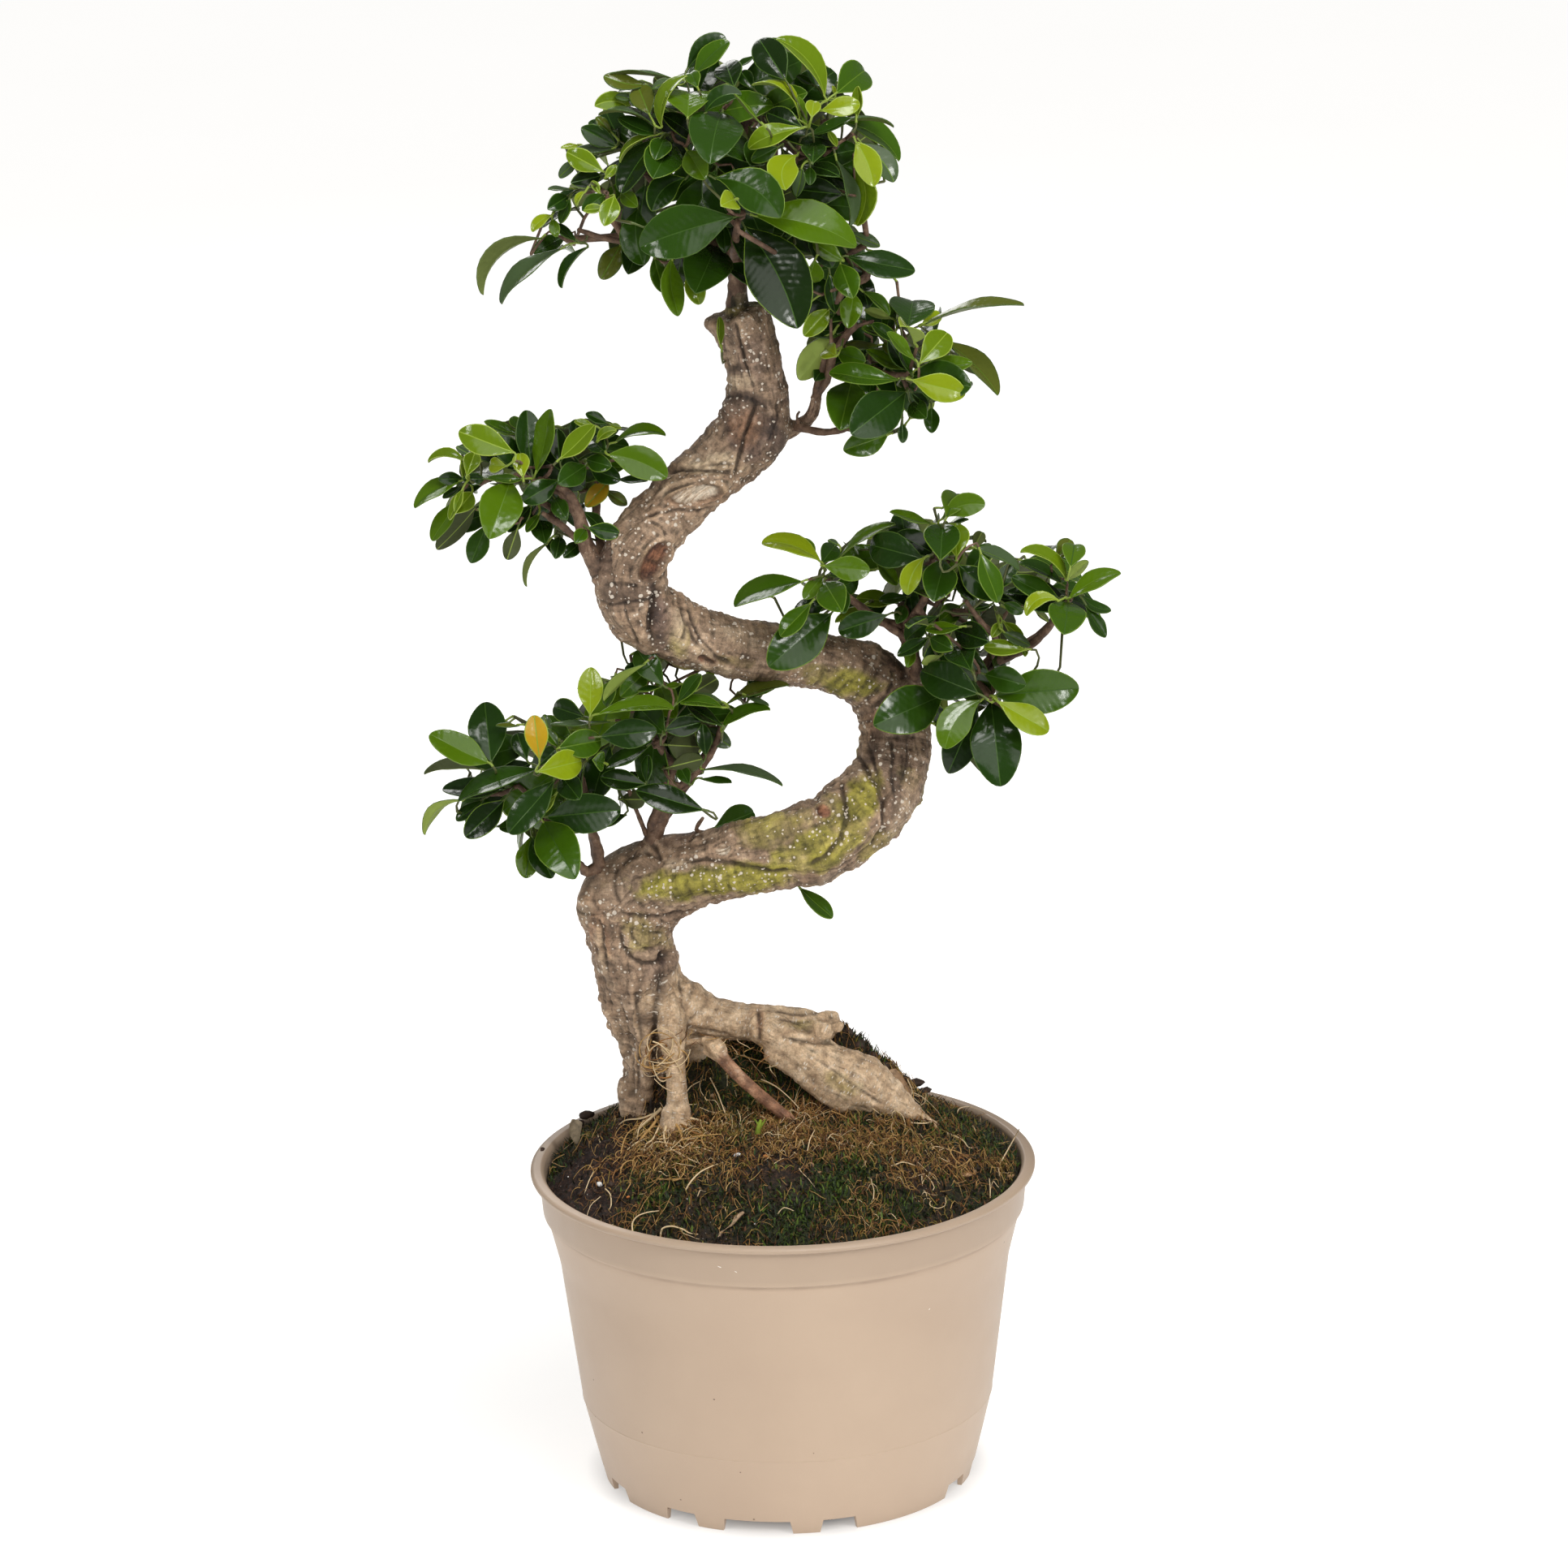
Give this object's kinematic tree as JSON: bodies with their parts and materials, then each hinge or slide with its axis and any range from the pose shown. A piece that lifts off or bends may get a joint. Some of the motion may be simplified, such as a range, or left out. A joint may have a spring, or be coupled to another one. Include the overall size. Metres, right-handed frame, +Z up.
{
  "type": "potted ficus ginseng bonsai",
  "caption": "Ficus ginseng bonsai with a thick S-shaped trunk, aerial roots on a mossy root ball and clumps of glossy leaves, in a round tapered pot.",
  "frame": {"origin": "centre of the pot's flat underside", "axes": "+Z up; the plant's front faces -Y; the trunk's sweeps run along X, the lower sweep towards +X"},
  "size_m": [0.303, 0.22, 0.6381],
  "materials": {
    "pot_plastic": "satin moulded plastic, warm beige taupe",
    "peat": "damp peat under dark moss and dry fibres, rough",
    "bark": "grey-brown bark with pale specks, rough",
    "root_bark": "pale tan root bark, rough",
    "twig": "brown twig bark, rough",
    "leaf": "thick dark green leaves, glossy above"
  },
  "bodies": {
    "root": {"bough_crown": "twig", "bough_crown_left": "twig", "bough_left_low": "twig", "bough_left_low_left": "twig", "bough_left_low_right": "twig", "bough_left_upper": "twig", "bough_left_upper_back": "twig", "bough_right_mid": "twig", "bough_right_mid_left": "twig", "bough_right_mid_right": "twig", "bough_right_upper": "twig", "bough_right_upper_low": "twig", "foliage_crown_back": "leaf", "foliage_crown_front": "leaf", "foliage_crown_front_right": "leaf", "foliage_crown_hang_front": "leaf", "foliage_crown_hang_left": "leaf", "foliage_crown_hang_right": "leaf", "foliage_crown_left": "leaf", "foliage_crown_left_tip": "leaf", "foliage_crown_right": "leaf", "foliage_crown_top": "leaf", "foliage_crown_top_left": "leaf", "foliage_left_low_core": "leaf", "foliage_left_low_drop": "leaf", "foliage_left_low_front": "leaf", "foliage_left_low_left": "leaf", "foliage_left_low_right": "leaf", "foliage_left_low_top": "leaf", "foliage_left_upper_left": "leaf", "foliage_left_upper_low": "leaf", "foliage_left_upper_main": "leaf", "foliage_left_upper_right": "leaf", "foliage_right_mid_back": "leaf", "foliage_right_mid_core": "leaf", "foliage_right_mid_front": "leaf", "foliage_right_mid_left": "leaf", "foliage_right_mid_left_low": "leaf", "foliage_right_mid_low": "leaf", "foliage_right_mid_low_right": "leaf", "foliage_right_mid_right": "leaf", "foliage_right_mid_top": "leaf", "foliage_right_upper_core": "leaf", "foliage_right_upper_low": "leaf", "foliage_right_upper_tip": "leaf", "foliage_right_upper_top": "leaf", "pot": "pot_plastic", "root_arch": "root_bark", "root_front": "root_bark", "root_thick": "root_bark", "root_thin": "root_bark", "soil": "peat", "trunk_base": "bark", "trunk_left_bend": "bark", "trunk_lower_bend": "bark", "trunk_lower_sweep": "bark", "trunk_middle_sweep": "bark", "trunk_right_bend": "bark", "trunk_upper": "bark"}
  },
  "joints": []
}
